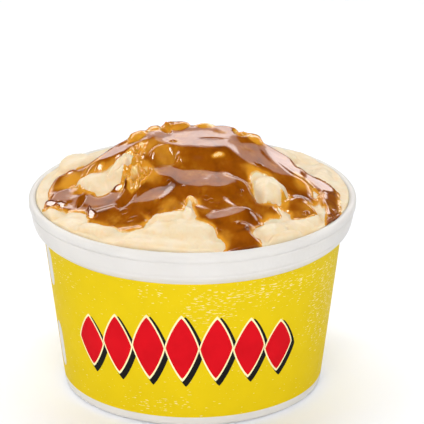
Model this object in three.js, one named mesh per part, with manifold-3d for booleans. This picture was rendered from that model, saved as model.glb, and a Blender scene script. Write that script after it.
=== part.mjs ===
// A side of mashed potato with gravy in its round foam tub. Millimetres, +Z up,
// origin at the centre of the tub's foot, front of the helping towards -Y.

import * as THREE from "three";
import { mergeVertices } from "three/addons/utils/BufferGeometryUtils.js";
import Module from "manifold-3d";

// ---- driving dimensions -------------------------------------------------

const TUB = {
  height: 70, // foot to crest of the lip
  lipRadius: 58, // widest part of the lip bead
  lipInner: 55.3, // where the food meets the lip
  lipDepth: 3.6, // height of the lip bead
  collarTop: 57.5, // radius of the collar under the bead
  collarFoot: 56.4, // radius of the collar above the shoulder
  collarFootHeight: 60.8,
  wallTop: 52.9, // radius of the wall under the shoulder
  wallTopHeight: 56.9,
  wallFoot: 45.7, // radius the tapered wall would reach at the floor line
  cornerRadius: 2.4, // rounding between wall and foot
  wall: 2.4, // thickness of the moulded foam
  floor: 3.8, // top of the inner floor
  footRing: [38.6, 43], // flat ring that the tub stands on
  recess: 1.6, // depth of the hollow under the floor
  segments: 64,
};

const GAP = 0.35; // clear space between neighbouring solids
const FOOD_LEVEL = 69.4; // level that the heights of the food are measured from
const FOOD_RADIUS = TUB.lipInner - GAP;
const FOOD = { segments: 64, rings: 17 };

// The heap as a rounded hill: half-height reach to each side, and how squarely it falls away.
const HILL = {
  x: -1,
  y: 3,
  left: 32.8,
  right: 33.7,
  front: 28,
  back: 25,
  height: 21.4,
  fall: { side: 3.3, front: 1.4, back: 2.2 },
  roundness: 1.35, // 2 gives round contours, less gives squarer ones
};
const EDGE = { from: 44, to: 55, keep: 0.15, lift: 0.7 };
// Rounding of the food at the wall: height there, and height and width of the rounded part.
const RIM = { wall: 0.15, height: 3.4, width: 3.4, rise: 2.5 };

// Nearly level places where gravy gathers: x, y, half length, half width, turn in degrees,
// height above the food level, slope along x, slope along y.
const LEDGES = {
  arm_fall: [-44.5, -0.5, 6, 5, 0, 4, 0.3, 0.42],
  left_fall: [-22, -33, 15, 6.5, -8, 3.6, 0.22, 0.4],
  middle_fall: [4, -29, 13, 4.5, -5, 9.6, 0.03, 0.46],
  gap_fall: [16, -25.5, 5.5, 7, 10, 9.5, -0.18, 0.52],
  right_fall: [36, -15.5, 9, 10, 0, 5.4, -0.36, 0.42],
  under_knob: [26, -29.5, 6, 4.5, 10, 5, -0.12, 0.45],
  drip_fall: [38.5, -24, 6, 6, 0, 3, -0.25, 0.42],
  stream_fall: [48.5, -13, 3.2, 12, 0, 1.7, -0.75, 0.12],
  tongue_fall: [15, -49, 8, 8, 0, 1.8, 0, 0.5],
  crown: [5, 0, 17, 8.2, 0, 20.2, -0.02, 0.11],
  left_ridge: [-26, -0.5, 10, 3.2, 5, 15.9, 0.42, 0.18],
  shoulder: [24, -4.3, 10.5, 9.3, -30, 14.4, -0.38, 0.29],
  shoulder_edge: [34, 0, 8, 5.2, -14, 10.6, -0.56, 0.18],
  stream_top: [45.4, -1.6, 5.6, 5.6, 0, 3.8, -0.48, 0.16],
  under_crown: [-9.8, -8.8, 4.2, 2.8, -10, 16.9, -0.38, 0.9],
  ribbon: [2.5, -19, 10.5, 6.2, -16, 12.8, 0.02, 0.19],
  ribbon_tip: [10.2, -20.6, 4.6, 3.2, -12, 12.7, 0, 0.165],
  ribbon_tail: [-8, -15, 6.6, 4.2, -40, 13.4, 0.03, 0.19],
  pool_left: [-44, -11.5, 6.5, 4.5, -20, 3.2, 0.25, 0.23],
  pool: [-32, -19, 9, 5, -20, 4.8, 0.25, 0.23],
  leaf: [-13.5, -24.6, 6.3, 4.6, 31, 8.6, 0.25, 0.19],
  pool_end: [-22.5, -22, 2.6, 5.5, -25, 6.9, 0.3, 0.6],
  crescent: [12, -37.8, 9.5, 3.4, 18, 6.8, 0.08, 0.18],
};
const LEDGE_EDGE = [0.7, 1.4];

// Rounded lumps of potato: x, y, half length, half width, turn in degrees, height of the top
// above the food level, depth of the rounded cap.
const LUMPS = {
  peak_left: [-12.2, 7.2, 4.8, 4.8, 15, 22.3, 3.6],
  peak_side: [-17.6, 4.6, 5.6, 3.8, 24, 21.1, 3.8],
  peak: [-6, 9.5, 5.2, 4.5, 4, 23.75, 3.4],
  second: [4.5, 10, 5.2, 3.2, 0, 22.1, 2.6],
  third: [20.2, 6.9, 5.9, 3.2, -25, 19.2, 2.4],
  hump: [-39.8, 13, 8.2, 7, 25, 9.9, 4.5],
  back_side: [-37, 29, 8, 5, 40, 3.2, 3],
  left_knob: [-32, -9, 8, 5, -20, 11.2, 4.5],
  crinkle_upper: [-20, -5, 4.5, 4.5, 0, 17.4, 3.2],
  crinkle_lower: [-22.5, -11, 5.2, 3.6, -15, 14.2, 3.4],
  right_knob: [26, -17.8, 6.4, 8.3, 8, 13.4, 7],
  spike_neck: [-1.5, -36.5, 2, 5, 0, 9, 3.5],
  front_shelf: [-5, -41.5, 12.5, 6, -3, 6.6, 5],
  front_roll: [-13, -51, 25, 4.2, 0, 2.7, 2.4],
  left_front: [-40, -28, 9, 7, 35, 2.6, 3],
  left_lobe: [-48, -20.5, 5.5, 3.6, -65, 2.6, 2.2],
  left_fold: [-33, -38, 8, 2.8, -22, 3.4, 2],
  left_fold_low: [-36, -42.5, 9, 2.4, -38, 1.7, 1.6],
  shelf_fold: [-7, -38, 7, 2.2, -6, 8.2, 2],
  right_front: [27, -41, 6.5, 5, 20, 4.6, 3.5],
  right_fold: [32, -44.5, 8, 2.6, 36, 2.9, 2],
  right_curl: [41.5, -29.5, 4, 2.6, 60, 3.4, 2],
  right_corner: [36.5, -34, 7, 5, 35, 3.4, 3.2],
  gap_strip: [45.3, -22, 2.2, 6, 15, 2.6, 2],
  back_knob: [5, 29, 6, 5, 0, 14, 4],
  back_left: [-21, 33, 9, 6, 30, 7, 4],
  back_right: [30, 30, 8, 6, -30, 5.8, 3.5],
  back_low: [-2, 46, 12, 5, 0, 4.5, 3],
  right_back: [46, 14, 5, 8, 0, 3.4, 3],
  back_edge_far: [38, 36, 9, 5, -43, 2.2, 2.4],
  back_edge_near: [48, 22, 9, 4.5, -62, 1.9, 2.4],
};
const LUMP_BLEND = 1.2; // softness of the crease where lumps meet
const LUMP_SIDE = 6; // how steeply a lump falls away past its rim

// Gravy: tapered runs from [x, y, half width] to [x, y, half width], and the bare places.
const RUNS = {
  crown: [[-6, 6, 20], [16, 6, 17]],
  back: [[0, 14, 15], [10, 14, 13]],
  back_fall: [[-4, 22, 11], [-7, 44, 5.5]],
  back_fall_right: [[14, 20, 11], [22, 31, 6.5]],
  left_arm: [[-20, 2, 9], [-45, 1.5, 3.8]],
  left_edge: [[-46, 2, 4.5], [-46, -13, 5.5]],
  left_tip: [[-34, -27, 3], [-35.5, -32.5, 1]],
  pool: [[-46, -13, 5.5], [-24, -25, 8]],
  pool_lip: [[-49.8, -16.5, 2.4], [-46.5, -20.2, 1.5]],
  pool_front: [[-27, -28.5, 8.2], [-21, -36, 6.3]],
  middle: [[-10, -20, 16], [14, -22, 17]],
  front: [[6, -33, 9], [16, -38, 9]],
  tongue: [[15, -40, 8.3], [18.6, -58, 6]],
  right: [[26, -4, 14], [34, -12, 11]],
  right_low: [[33, -21, 6.5], [38.8, -25.8, 5.4]],
  under_knob: [[24, -29, 4], [28.5, -30.5, 2.5]],
  stream_head: [[40, -4, 7.5], [46.8, -2.8, 5.2]],
  stream: [[48, -4, 4.2], [49.5, -32, 3]],
};
const BARE = {
  left_knob: [[-38, -9.5, 2.2], [-31.5, -11, 4.9]],
  right_knob_foot: [[26.5, -21, 4.2], [28.6, -24.2, 2.4]],
  right_knob: [[24, -14.5, 3.2], [26, -21.3, 4.9]],
  right_knob_side: [[26, -17.5, 4], [30.3, -19.3, 2.9]],
  front_notch: [[-14, -44, 3.5], [-14.5, -39.5, 2.2]],
  right_notch: [[33, -34, 2.6], [32.6, -27.5, 1.3]],
  waist: [[23.5, -44, 2.5], [22.5, -41, 1]],
  spike_neck: [[-1.4, -34.2, 1.3], [-1.2, -38.5, 2.7]],
  strip: [[46, -19.5, 0.5], [44.5, -27, 1.3]],
  back_knob: [[4, 27, 2.2], [7, 31, 3.2]],
};
const GRAVY = { depth: 1.1, edgeSlope: 0.5, below: 3, runBlend: 1, bareBlend: 0.8 };

// ---- small maths --------------------------------------------------------

const { clamp, degToRad, smoothstep } = THREE.MathUtils;

function smoothMax(a, b, softness) {
  const share = clamp(0.5 + (0.5 * (a - b)) / softness, 0, 1);
  return b + (a - b) * share + softness * share * (1 - share);
}

function ellipseReach(x, y, [centreX, centreY, halfLength, halfWidth, turn]) {
  const angle = degToRad(turn);
  const dx = x - centreX;
  const dy = y - centreY;
  const along = (dx * Math.cos(angle) + dy * Math.sin(angle)) / halfLength;
  const across = (-dx * Math.sin(angle) + dy * Math.cos(angle)) / halfWidth;
  return Math.hypot(along, across);
}

function insideRun(x, y, [[x1, y1, r1], [x2, y2, r2]]) {
  const dx = x2 - x1;
  const dy = y2 - y1;
  const t = clamp(((x - x1) * dx + (y - y1) * dy) / (dx * dx + dy * dy), 0, 1);
  return r1 + (r2 - r1) * t - Math.hypot(x - x1 - t * dx, y - y1 - t * dy);
}

// ---- shape of the food --------------------------------------------------

function hillHeight(x, y) {
  const dx = x - HILL.x;
  const dy = y - HILL.y;
  const across = Math.pow(Math.abs(dx) / (dx < 0 ? HILL.left : HILL.right), HILL.roundness);
  const along = Math.pow(Math.abs(dy) / (dy < 0 ? HILL.front : HILL.back), HILL.roundness);
  const lean = across / Math.max(across + along, 1e-6);
  const fall = lean * HILL.fall.side + (1 - lean) * (dy < 0 ? HILL.fall.front : HILL.fall.back);
  const hill = HILL.height * Math.pow(2, -Math.pow(across + along, fall / HILL.roundness));
  const nearEdge = smoothstep(Math.hypot(x, y), EDGE.from, EDGE.to);
  let height = hill * (1 - (1 - EDGE.keep) * nearEdge) + EDGE.lift;
  for (const ledge of Object.values(LEDGES)) {
    const [level, slopeX, slopeY] = ledge.slice(5);
    const share = 1 - smoothstep(ellipseReach(x, y, ledge), ...LEDGE_EDGE);
    height += share * (level + slopeX * (x - ledge[0]) + slopeY * (y - ledge[1]) - height);
  }
  return height;
}

// The highest that the food may stand at a place near the wall.
function rimLimit(x, y) {
  const inward = TUB.lipInner - Math.hypot(x, y);
  const share = clamp(inward / RIM.width, 0, 1);
  const round = RIM.wall + RIM.height * Math.sqrt(share * (2 - share));
  return round + RIM.rise * Math.max(0, inward - RIM.width);
}

function mashHeight(x, y) {
  let height = hillHeight(x, y);
  for (const lump of Object.values(LUMPS)) {
    const [top, cap] = lump.slice(5);
    const reach = ellipseReach(x, y, lump);
    const dome = cap * Math.sqrt(Math.max(0, 1 - reach * reach));
    const fall = LUMP_SIDE * Math.max(0, reach - 1);
    height = smoothMax(height, top - cap + dome - fall, LUMP_BLEND);
  }
  return FOOD_LEVEL - smoothMax(-height, -rimLimit(x, y), 0.6);
}

function gravyCover(x, y) {
  let cover = -Infinity;
  for (const run of Object.values(RUNS)) {
    const inside = insideRun(x, y, run);
    cover = cover === -Infinity ? inside : smoothMax(cover, inside, GRAVY.runBlend);
  }
  for (const place of Object.values(BARE)) {
    cover = -smoothMax(-cover, insideRun(x, y, place), GRAVY.bareBlend);
  }
  return cover;
}

function gravyHeight(x, y) {
  const thickness = GRAVY.edgeSlope * gravyCover(x, y);
  return mashHeight(x, y) + clamp(thickness, -GRAVY.below / 2, GRAVY.depth);
}

// ---- solids -------------------------------------------------------------

// Inner wall of the tub from the lip down to the floor, as [radius, height].
function innerWall(gap) {
  return [
    [TUB.lipInner - gap, TUB.height - 1.2],
    [TUB.lipInner - 0.6 - gap, TUB.collarFootHeight + 0.6],
    [TUB.wallTop - TUB.wall - gap, TUB.wallTopHeight],
    [wallRadius(TUB.floor + 3) - TUB.wall - gap, TUB.floor + 3],
    [wallRadius(TUB.floor) - TUB.wall - 3 - gap, TUB.floor + gap],
    [0, TUB.floor + gap],
  ];
}

function wallRadius(height) {
  return TUB.wallFoot + ((TUB.wallTop - TUB.wallFoot) * height) / TUB.wallTopHeight;
}

function arc(centreR, centreZ, radius, fromDegrees, toDegrees, steps) {
  return Array.from({ length: steps + 1 }, (_, i) => {
    const angle = degToRad(fromDegrees + ((toDegrees - fromDegrees) * i) / steps);
    return [centreR + radius * Math.cos(angle), centreZ + radius * Math.sin(angle)];
  });
}

function lathe(profile, segments) {
  const points = profile.map(([radius, height]) => new THREE.Vector2(radius, height));
  return new THREE.LatheGeometry(points, segments).rotateX(Math.PI / 2);
}

function tubGeometry() {
  const corner = TUB.cornerRadius;
  const beadRadius = (TUB.lipRadius - TUB.lipInner) / 2;
  const beadCentre = [TUB.lipInner + beadRadius, TUB.height - beadRadius];
  const profile = [
    [0, TUB.recess],
    [TUB.footRing[0] - 1.2, TUB.recess],
    [TUB.footRing[0], 0],
    [TUB.footRing[1], 0],
    ...arc(wallRadius(corner) - corner, corner, corner, -75, 0, 3),
    [TUB.wallTop, TUB.wallTopHeight],
    [TUB.wallTop + 0.9, TUB.wallTopHeight + 2],
    [TUB.collarFoot - 0.4, TUB.collarFootHeight - 0.5],
    [TUB.collarFoot, TUB.collarFootHeight + 0.3],
    [TUB.collarTop, TUB.height - TUB.lipDepth - 0.4],
    [TUB.collarTop - 0.3, TUB.height - TUB.lipDepth],
    [TUB.lipRadius, TUB.height - TUB.lipDepth + 0.7],
    ...arc(...beadCentre, beadRadius, 0, 180, 6),
    ...innerWall(0),
  ];
  return lathe(profile, TUB.segments);
}

// A round body whose flat top is moved to a height that depends on the place. The wall
// profile runs down from its top edge to the axis.
function heapGeometry(wallProfile, heightAt) {
  const flatTop = FOOD_LEVEL + HILL.height * 2;
  const rings = Array.from({ length: FOOD.rings + 1 }, (_, i) => FOOD_RADIUS * (1 - i / FOOD.rings));
  const brim = wallProfile[0][0] > FOOD_RADIUS ? [wallProfile[0][0]] : [];
  const top = [...brim, ...rings].map((ring) => [ring, flatTop]);
  const geometry = lathe([...wallProfile.toReversed(), ...top], FOOD.segments);
  const position = geometry.getAttribute("position");
  for (let i = 0; i < position.count; i++) {
    if (position.getZ(i) > flatTop - 1) {
      position.setZ(i, heightAt(position.getX(i), position.getY(i)));
    }
  }
  return geometry;
}

const wasm = await Module();
wasm.setup();

function solidFrom(geometry) {
  const bare = geometry.clone();
  bare.deleteAttribute("normal");
  bare.deleteAttribute("uv");
  const merged = mergeVertices(bare, 1e-4);
  const vertProperties = new Float32Array(merged.getAttribute("position").array);
  const triVerts = new Uint32Array(merged.getIndex().array);
  return new wasm.Manifold(new wasm.Mesh({ numProp: 3, vertProperties, triVerts }));
}

function geometryFrom(solid) {
  const mesh = solid.getMesh();
  const geometry = new THREE.BufferGeometry();
  geometry.setAttribute("position", new THREE.BufferAttribute(mesh.vertProperties, 3));
  geometry.setIndex(new THREE.BufferAttribute(mesh.triVerts, 1));
  geometry.computeVertexNormals();
  return geometry;
}

function gravyGeometry() {
  const low = FOOD_LEVEL - 20;
  const slab = heapGeometry([[FOOD_RADIUS, low], [0, low]], gravyHeight);
  const brim = FOOD_RADIUS + 2;
  const mashWithGap = (x, y) => mashHeight(x, y) + GAP;
  const cutter = heapGeometry([[brim, low - 1], [0, low - 1]], mashWithGap);
  return geometryFrom(solidFrom(slab).subtract(solidFrom(cutter)));
}

function piece(name, geometry, look) {
  const mesh = new THREE.Mesh(geometry, new THREE.MeshStandardMaterial(look));
  mesh.name = name;
  return mesh;
}

const side = new THREE.Group();
side.add(
  piece("tub", tubGeometry(), { color: 0xf2efe9, roughness: 0.45, metalness: 0 }),
  piece("mash", heapGeometry(innerWall(GAP), mashHeight), {
    color: 0xf3deb8,
    roughness: 0.55,
    metalness: 0,
  }),
  piece("gravy", gravyGeometry(), { color: 0x9c5a10, roughness: 0.15, metalness: 0 }),
);

export default side;
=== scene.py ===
"""A side of mashed potato with gravy, heaped in its round foam tub.

Tables of places and sizes are in millimetres, with the origin at the centre of the tub's foot,
+Z up and the front of the helping towards -Y.
"""

import math

import bpy
import numpy as np
from bpy.props import FloatProperty, FloatVectorProperty, IntProperty, PointerProperty
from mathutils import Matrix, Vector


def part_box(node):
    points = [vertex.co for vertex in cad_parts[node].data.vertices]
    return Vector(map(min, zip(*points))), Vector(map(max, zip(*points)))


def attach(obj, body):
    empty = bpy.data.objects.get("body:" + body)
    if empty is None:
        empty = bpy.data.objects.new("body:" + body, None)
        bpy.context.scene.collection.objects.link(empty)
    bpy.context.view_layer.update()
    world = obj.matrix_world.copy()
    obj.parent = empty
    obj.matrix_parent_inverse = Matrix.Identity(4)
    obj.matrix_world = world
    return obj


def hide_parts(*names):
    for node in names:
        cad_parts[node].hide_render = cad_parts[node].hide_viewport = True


bl_info = {
    "name": "Mashed Potato Side",
    "version": (1, 0, 0),
    "blender": (4, 5, 0),
    "location": "3D View > Sidebar > Potato Side",
    "description": "Builds a heaped side of mashed potato and gravy in its foam tub",
    "category": "Add Mesh",
}

MM = 0.001  # one millimetre in Blender's metres

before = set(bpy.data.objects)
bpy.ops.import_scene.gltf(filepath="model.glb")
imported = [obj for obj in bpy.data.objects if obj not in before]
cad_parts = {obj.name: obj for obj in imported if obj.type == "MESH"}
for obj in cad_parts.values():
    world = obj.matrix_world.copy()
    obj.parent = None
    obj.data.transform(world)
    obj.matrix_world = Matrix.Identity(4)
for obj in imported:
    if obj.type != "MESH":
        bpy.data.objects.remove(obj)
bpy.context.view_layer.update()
tub_low, tub_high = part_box("tub")
LIP_RADIUS = (tub_high.x - tub_low.x) / 2
TUB_HEIGHT = tub_high.z


# ---- the heap: places and sizes in millimetres --------------------------

FOOD_LEVEL = 69.4  # level that the heights of the food are measured from

# Half-height reaches of the hill to each side, and how squarely it falls away along them.
HILL = {"x": -1, "y": 3, "left": 32.8, "right": 33.7, "front": 28, "back": 25, "height": 21.4}
FALL = {"side": 3.3, "front": 1.4, "back": 2.2}
HILL_ROUNDNESS = 1.35  # 2 gives round contours, less gives squarer ones turned by half
# Near the wall the hill keeps a share of its height, and all of it is lifted a little.
EDGE = {"from": 44, "to": 55, "keep": 0.15, "lift": 0.7}
# Rounding of the food where it meets the wall: height at the wall, height and width of the
# rounded part, and how steeply it may rise further in.
RIM = {"radius": 55.4, "wall": 0.15, "height": 3.4, "width": 3.4, "rise": 2.5}

# Nearly level places where gravy gathers: x, y, half length, half width, turn in degrees,
# height above the food level, slope along x, slope along y.
LEDGES = {
    "arm_fall": (-44.5, -0.5, 6, 5, 0, 4.0, 0.30, 0.42),
    "left_fall": (-22, -33, 15, 6.5, -8, 3.6, 0.22, 0.40),
    "middle_fall": (4, -29, 13, 4.5, -5, 9.6, 0.03, 0.46),
    "gap_fall": (16, -25.5, 5.5, 7, 10, 9.5, -0.18, 0.52),
    "right_fall": (36, -15.5, 9, 10, 0, 5.4, -0.36, 0.42),
    "under_knob": (26, -29.5, 6, 4.5, 10, 5.0, -0.12, 0.45),
    "drip_fall": (38.5, -24, 6, 6, 0, 3.0, -0.25, 0.42),
    "stream_fall": (48.5, -13, 3.2, 12, 0, 1.7, -0.75, 0.12),
    "tongue_fall": (15, -49, 8, 8, 0, 1.8, 0.0, 0.50),
    "crown": (5, 0, 17, 8.2, 0, 20.2, -0.02, 0.11),
    "crown_back": (12.5, 7.2, 5, 3.2, -15, 20.9, -0.1, 0.12),
    "swirl": (7, -0.6, 4.6, 0.9, 0, 20.0, -0.02, -0.08),
    "left_ridge": (-26, -0.5, 10, 3.2, 5, 15.9, 0.42, 0.18),
    "shoulder": (24, -4.3, 10.5, 9.3, -30, 14.4, -0.38, 0.29),
    "shoulder_edge": (34, 0, 8.0, 5.2, -14, 10.6, -0.56, 0.18),
    "stream_top": (45.4, -1.6, 5.6, 5.6, 0, 3.8, -0.48, 0.16),
    "under_crown": (-9.8, -8.8, 4.2, 2.8, -10, 16.9, -0.38, 0.9),
    "ribbon": (2.5, -19.4, 10.5, 6.9, -16, 12.72, 0.02, 0.19),
    "ribbon_tip": (9.6, -21.6, 5.2, 5.2, -12, 12.5, 0.0, 0.178),
    "ribbon_tail": (-8, -15, 6.6, 4.2, -40, 13.4, 0.03, 0.19),
    "pool_left": (-44, -11.5, 6.5, 4.5, -20, 3.2, 0.25, 0.23),
    "pool": (-32, -19, 9, 5, -20, 4.8, 0.25, 0.23),
    "leaf": (-13.5, -24.6, 6.3, 4.6, 31, 8.6, 0.25, 0.19),
    "pool_gap": (-38.2, -15, 1.0, 5, -15, 3.75, 0.45, 0.7),
    "pool_end": (-22.5, -22, 2.6, 5.5, -25, 6.9, 0.3, 0.6),
    "crescent": (12, -37.8, 9.5, 3.4, 18, 6.8, 0.08, 0.18),
}
LEDGE_EDGE = (0.7, 1.4)  # shares of a ledge's reach between which it blends into the hill

# Rounded lumps of potato: x, y, half length, half width, turn in degrees, height of the top
# above the food level, depth of the rounded cap.
LUMPS = {
    "peak_left": (-12.2, 7.2, 4.8, 4.8, 15, 23.1, 3.6),
    "peak_side": (-17.6, 4.6, 5.6, 3.8, 24, 21.9, 3.8),
    "peak": (-6, 9.5, 5.2, 4.5, 4, 24.0, 3.4),
    "second": (4.5, 10, 5.2, 3.2, 0, 22.9, 2.6),
    "third": (20.2, 6.9, 5.9, 3.2, -25, 20.0, 2.4),
    "hump": (-39.8, 13, 8.2, 7, 25, 9.9, 4.5),
    "back_side": (-37, 29, 8, 5, 40, 3.2, 3.0),
    "left_knob": (-32, -9, 8, 5, -20, 11.2, 4.5),
    "crinkle_upper": (-20, -5, 4.5, 4.5, 0, 18.2, 3.2),
    "crinkle_lower": (-22.5, -11, 5.2, 3.6, -15, 15.0, 3.4),
    "strand": (-21.3, -8.8, 5, 0.8, 12, 16.9, 1.2),
    "strand_above": (-22.8, -6.6, 3.4, 0.7, 14, 17.6, 1.1),
    "strand_below": (-19.4, -12.4, 3.2, 0.8, -18, 15.6, 1.2),
    "fan_left": (-20.8, -16.6, 0.7, 2.4, 10, 13.2, 1.2),
    "fan_middle": (-18.9, -17.0, 0.7, 2.6, -12, 12.8, 1.2),
    "fan_right": (-17.0, -17.8, 0.7, 2.6, -35, 12.6, 1.2),
    "right_knob": (26, -17.8, 6.4, 8.3, 8, 13.4, 7),
    "spike_head": (0.2, -31, 3, 2.6, 0, 11.6, 4),
    "spike_neck": (-1.5, -36.5, 2.0, 5, 0, 9.0, 3.5),
    "front_shelf": (-5, -41.5, 12.5, 6.0, -3, 6.6, 5),
    "front_roll": (-13, -51, 25, 4.2, 0, 2.7, 2.4),
    "left_front": (-40, -28, 9, 7, 35, 2.6, 3),
    "left_lobe": (-48, -20.5, 5.5, 3.6, -65, 2.6, 2.2),
    "left_fold": (-33, -38, 8, 2.8, -22, 3.4, 2),
    "left_fold_low": (-36, -42.5, 9, 2.4, -38, 1.7, 1.6),
    "shelf_fold": (-7, -38, 7, 2.2, -6, 8.2, 2),
    "right_front": (27, -41, 6.5, 5, 20, 4.6, 3.5),
    "right_fold": (32, -44.5, 8, 2.6, 36, 2.9, 2),
    "right_curl": (41.5, -29.5, 4, 2.6, 60, 3.4, 2),
    "right_corner": (36.5, -34, 7, 5, 35, 3.4, 3.2),
    "gap_strip": (45.3, -22, 2.2, 6, 15, 2.6, 2),
    "back_knob": (5, 29, 6, 5, 0, 14.0, 4),
    "back_left": (-21, 33, 9, 6, 30, 7.0, 4),
    "back_right": (30, 30, 8, 6, -30, 5.8, 3.5),
    "back_low": (-2, 46, 12, 5, 0, 4.5, 3),
    "right_back": (46, 14, 5, 8, 0, 3.4, 3),
    "back_edge_far": (38, 36, 9, 5, -43, 2.2, 2.4),
    "back_edge_near": (48, 22, 9, 4.5, -62, 1.9, 2.4),
}
LUMP_BLEND = 1.2  # softness of the crease where lumps meet
LUMP_SIDE = 6  # how steeply a lump falls away past its rim

# Gravy: tapered runs from (x, y, half width) to (x, y, half width), and the bare places.
RUNS = {
    "crown": ((-6, 6, 20), (16, 6, 17)),
    "back": ((0, 14, 15), (10, 14, 13)),
    "back_fall": ((-4, 22, 11), (-7, 44, 5.5)),
    "back_fall_right": ((14, 20, 11), (22, 31, 6.5)),
    "left_arm": ((-20, 2, 9), (-45, 1.5, 3.8)),
    "left_edge": ((-46, 2, 4.5), (-46, -13, 5.5)),
    "left_tip": ((-34, -27, 3), (-35.5, -32.5, 1)),
    "pool": ((-46, -13, 5.5), (-24, -25, 8)),
    "pool_lip": ((-49.8, -16.5, 2.4), (-46.5, -20.2, 1.5)),
    "pool_front": ((-27, -28.5, 8.2), (-21, -36, 6.3)),
    "middle": ((-10, -20, 16), (14, -22, 17)),
    "front": ((6, -33, 9), (16, -38, 9)),
    "tongue": ((15, -40, 8.3), (18.6, -58, 6)),
    "right": ((26, -4, 14), (34, -12, 11)),
    "right_low": ((33, -21, 6.5), (38.8, -25.8, 5.4)),
    "under_knob": ((24, -29, 4), (28.5, -30.5, 2.5)),
    "stream_head": ((40, -4, 7.5), (46.8, -2.8, 5.2)),
    "stream": ((48, -4, 4.2), (49.5, -32, 3)),
}
BARE = {
    "left_knob": ((-38, -9.5, 2.2), (-31.5, -11, 4.9)),
    "left_knob_side": ((-31, -8.5, 3.8), (-26.5, -6.5, 1.6)),
    "right_knob_foot": ((26.5, -21, 4.2), (28.6, -24.2, 2.4)),
    "right_knob": ((24, -14.5, 3.2), (26, -21.3, 4.9)),
    "right_knob_side": ((26, -17.5, 4), (30.3, -19.3, 2.9)),
    "front_notch": ((-14, -44, 3.5), (-14.5, -39.5, 2.2)),
    "right_notch": ((33, -34, 2.6), (32.6, -27.5, 1.3)),
    "waist": ((23.5, -44, 2.5), (22.5, -41, 1)),
    "roll_end": ((6, -50.5, 3), (9.3, -51, 2.4)),
    "islet": ((43, -10, 0.8), (43, -13, 0.5)),
    "spike_neck": ((-1.4, -34.2, 1.3), (-1.2, -38.5, 2.7)),
    "strip": ((46, -19.5, 0.5), (44.5, -27, 1.3)),
    "back_knob": ((4, 27, 2.2), (7, 31, 3.2)),
}
# Where the gravy is coloured as if the potato nearly reached its surface: x, y, half length,
# half width, turn in degrees, and how far its colour thins. Its shape stays as it is.
SHOALS = {
    "under_crown": (-9, -8.5, 4, 3, -8, 0.4),
    "left_of_crown": (-18, -4, 6, 5, 0, 0.5),
    "under_tail": (-15, -16.5, 5.5, 4, -30, 0.6),
    "crinkle_side": (-24.5, -11.5, 2.2, 4.5, 15, 0.9),
    "crinkle_top": (-19.8, -6, 3.6, 2.6, 10, 0.95),
    "spike": (0.8, -31.2, 4.2, 2.4, -12, 1.3),
    "fleck": (8.8, -9.9, 2.8, 1.1, 15, 1.4),
    "above_knob": (21, -12, 4, 2.5, -20, 0.6),
    "right_flank": (39, -9, 5, 6, 0, 0.7),
    "arm_end": (-43.5, -1.5, 6, 4.5, 10, 0.8),
    "arm": (-35, 0.5, 7, 2.5, 5, 0.5),
    "tongue": (12, -49, 4, 5, 0, 0.35),
    "drip": (-21, -39, 8, 3, -10, 0.4),
    "front_middle": (-8, -33, 5, 4, 0, 0.45),
    "right_front": (38, -24, 5, 5, 0, 0.2),
}
# Broken potato under a thin film of gravy: x, y, half length, half width, turn in degrees.
CRINKLES = {
    "by_the_ribbon": (-20.5, -12, 6, 5, -20),
    "by_the_knob": (-24.5, -9, 4.5, 5.5, 10),
    "upper": (-20, -4.5, 4.5, 3.5, 20),
    "crown_right": (16.8, 7.2, 3, 2.4, -25),
    "peak_gap": (-9.5, 7, 2.2, 4, 20),
}
# Small flat places in the gravy that tip towards the glint box and shine: x, y, half length,
# half width, turn in degrees.
FACETS = {
    "pool_edge_left": (-49.4, -14.6, 3.0, 1.1, -7),
    "pool_edge": (-46.2, -16.6, 2.4, 1.1, -7),
    "pool_edge_down": (-46.9, -18.8, 0.9, 1.1, 0),
    "tip_top": (-35.8, -25.5, 0.9, 1.7, 0),
    "tip": (-35.2, -28.8, 1.9, 1.7, 0),
    "island_foot": (-25.2, -16.4, 2.8, 1.0, 0),
    "island_foot_end": (-22.9, -18.3, 0.8, 0.8, 0),
    "island_top": (-32.6, -3.7, 1.6, 0.8, 5),
    "arm_rim": (-43.2, 3.0, 2.1, 0.7, 12),
    "fold_upper": (-22.4, -14.6, 0.8, 0.8, 0),
    "fold_lower": (-22.1, -16.2, 0.8, 0.9, 0),
    "crown_fold": (-17.3, -8.0, 0.8, 1.0, 0),
    "crown_fold_left": (-21.6, -6.4, 0.9, 0.6, 0),
    "crown_edge": (-6.8, -3.0, 1.3, 0.6, 0),
    "pool_blob": (-23.6, -30.4, 1.5, 0.7, 0),
    "pool_stroke": (-20.8, -34.6, 2.0, 0.5, 10),
    "leaf_tip": (-8.2, -20.6, 0.7, 0.6, 0),
    "front_dot": (-10.0, -33.6, 0.9, 0.5, 0),
    "spike_left": (-5.6, -37.0, 0.7, 0.6, 0),
    "spike_line_left": (4.9, -29.9, 1.1, 0.6, -10),
    "spike_line_right": (6.6, -31.2, 0.9, 0.6, -10),
    "front_line": (8.8, -33.0, 1.4, 0.5, 0),
    "shoulder_line": (23.2, -8.7, 1.3, 0.5, 0),
    "knob_rim": (24.4, -11.0, 1.2, 0.5, 0),
    "knob_left": (17.2, -25.3, 0.7, 0.9, 0),
    "tongue_dot": (16.0, -43.7, 0.7, 0.6, 0),
    "tongue_dot_right": (19.0, -45.8, 0.8, 0.8, 0),
    "tongue_dot_left": (9.6, -46.6, 0.6, 0.6, 0),
    "drip_dot": (34.5, -18.6, 0.9, 0.6, 0),
    "drip_end": (39.6, -26.2, 1.0, 0.7, 0),
    "stream_side": (43.2, -9.8, 1.1, 1.4, 0),
    "stream_end": (48.3, -25.2, 0.9, 0.9, 0),
}
FACET_SLOPE = (0.13, 1.48)  # along x and along y
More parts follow.
